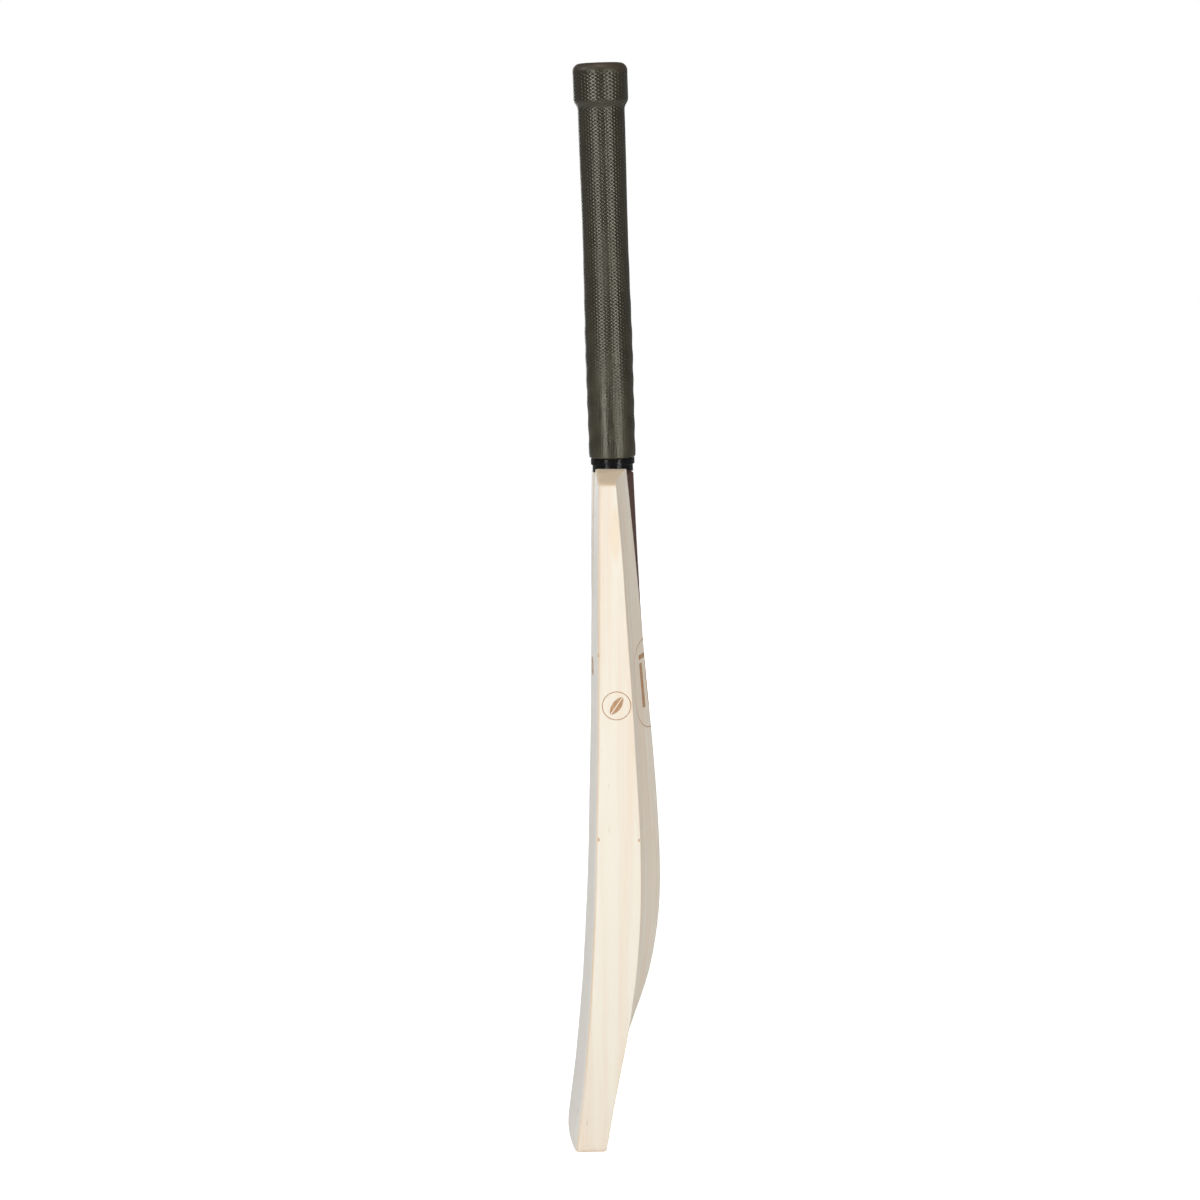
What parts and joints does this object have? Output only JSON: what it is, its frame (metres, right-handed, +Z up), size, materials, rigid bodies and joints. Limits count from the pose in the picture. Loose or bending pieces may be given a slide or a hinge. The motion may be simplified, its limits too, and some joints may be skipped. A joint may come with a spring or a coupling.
{
  "type": "cricket bat",
  "caption": "Long-handle cricket bat: pale willow blade with a spine, spliced cane handle, dark rubber grip and black tape.",
  "frame": {"origin": "centre of the toe's flat base, on the blade's middle plane", "axes": "+Z up along the bat from toe to grip, -Y out of the hitting face, +Y out of the spine, X across the blade's width"},
  "size_m": [0.108, 0.0762, 0.8765],
  "materials": {
    "willow": "pale sanded willow with fine straight grain, waxed",
    "cane": "cane stained dark brown where it shows in the splice",
    "spring": "plain black rubber strip",
    "twine": "glued linen thread",
    "tape": "glossy black tape",
    "grip": "dark olive rubber with a fine pattern of dimples"
  },
  "bodies": {
    "root": {"blade": "willow", "cane_1_left": "cane", "cane_1_middle": "cane", "cane_1_right": "cane", "cane_2_left": "cane", "cane_2_middle": "cane", "cane_2_right": "cane", "cane_3_left": "cane", "cane_3_middle": "cane", "cane_3_right": "cane", "cane_4_left": "cane", "cane_4_middle": "cane", "cane_4_right": "cane", "spring_1": "spring", "spring_2": "spring", "spring_3": "spring", "twine_1": "twine", "twine_2": "twine", "twine_3": "twine", "twine_4": "twine", "tape_lower": "tape", "tape_upper": "tape", "grip": "grip"}
  },
  "joints": []
}
